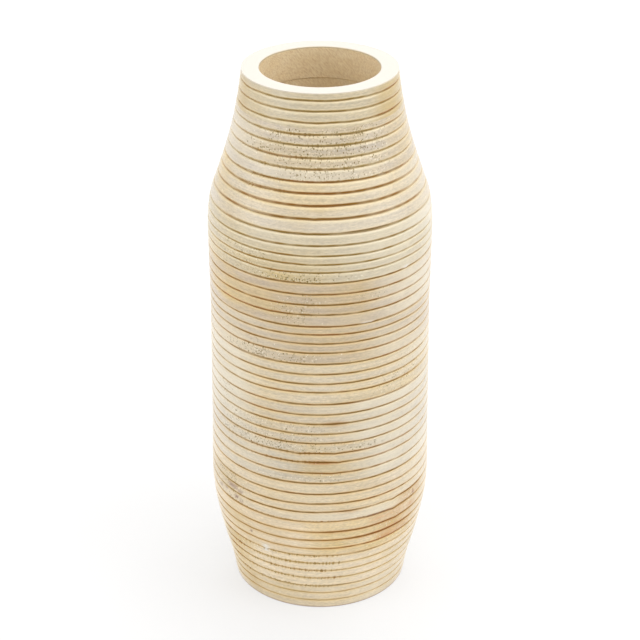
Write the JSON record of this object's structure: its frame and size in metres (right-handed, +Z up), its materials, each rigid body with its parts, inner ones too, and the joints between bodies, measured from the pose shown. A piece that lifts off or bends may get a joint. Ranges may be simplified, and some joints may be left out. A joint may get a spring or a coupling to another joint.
{
  "type": "wooden vase",
  "caption": "Tall turned wooden vase with a limewashed, closely grooved outside, a drawn-in neck and foot, an open mouth and a flat base; made of glued rings of board.",
  "frame": {"origin": "centre of the round underside, on the surface that the vase stands on", "axes": "+Z up along the turning axis, out of the mouth; +X and +Y level, with the pictured side facing -Y"},
  "size_m": [0.1444, 0.1444, 0.36],
  "materials": {
    "limewashed_wood": "matt limewash, sanded back, with darker grooves"
  },
  "bodies": {
    "root": {"base_disc": "limewashed_wood", "foot_ring": "limewashed_wood", "body_ring_1": "limewashed_wood", "body_ring_2": "limewashed_wood", "body_ring_3": "limewashed_wood", "body_ring_4": "limewashed_wood", "body_ring_5": "limewashed_wood", "body_ring_6": "limewashed_wood", "body_ring_7": "limewashed_wood", "shoulder_ring": "limewashed_wood", "lower_neck_ring": "limewashed_wood", "upper_neck_ring": "limewashed_wood", "rim_ring": "limewashed_wood"}
  },
  "joints": []
}
